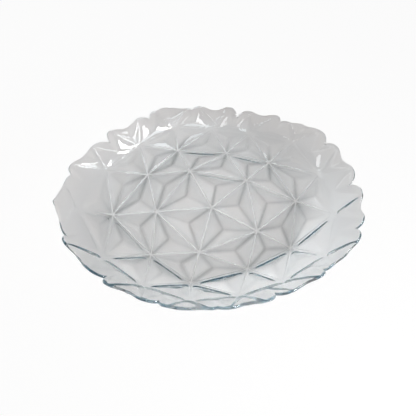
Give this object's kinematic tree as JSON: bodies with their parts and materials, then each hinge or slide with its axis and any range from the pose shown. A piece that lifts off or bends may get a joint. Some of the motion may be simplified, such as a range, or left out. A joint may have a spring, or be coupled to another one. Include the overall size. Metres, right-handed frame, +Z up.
{
  "type": "oval plate",
  "caption": "Shallow oval serving plate of clear pressed glass, with a relief of faceted triangles and a scalloped rim.",
  "frame": {"origin": "on the table, under the middle of the plate's length and width", "axes": "+X along the plate's length, +Y across its width, +Z up out of the dish"},
  "size_m": [0.304, 0.2404, 0.0387],
  "materials": {
    "glass": "fire-polished clear glass with a faint blue-green tint"
  },
  "bodies": {
    "root": {"glass_plate": "glass"}
  },
  "joints": []
}
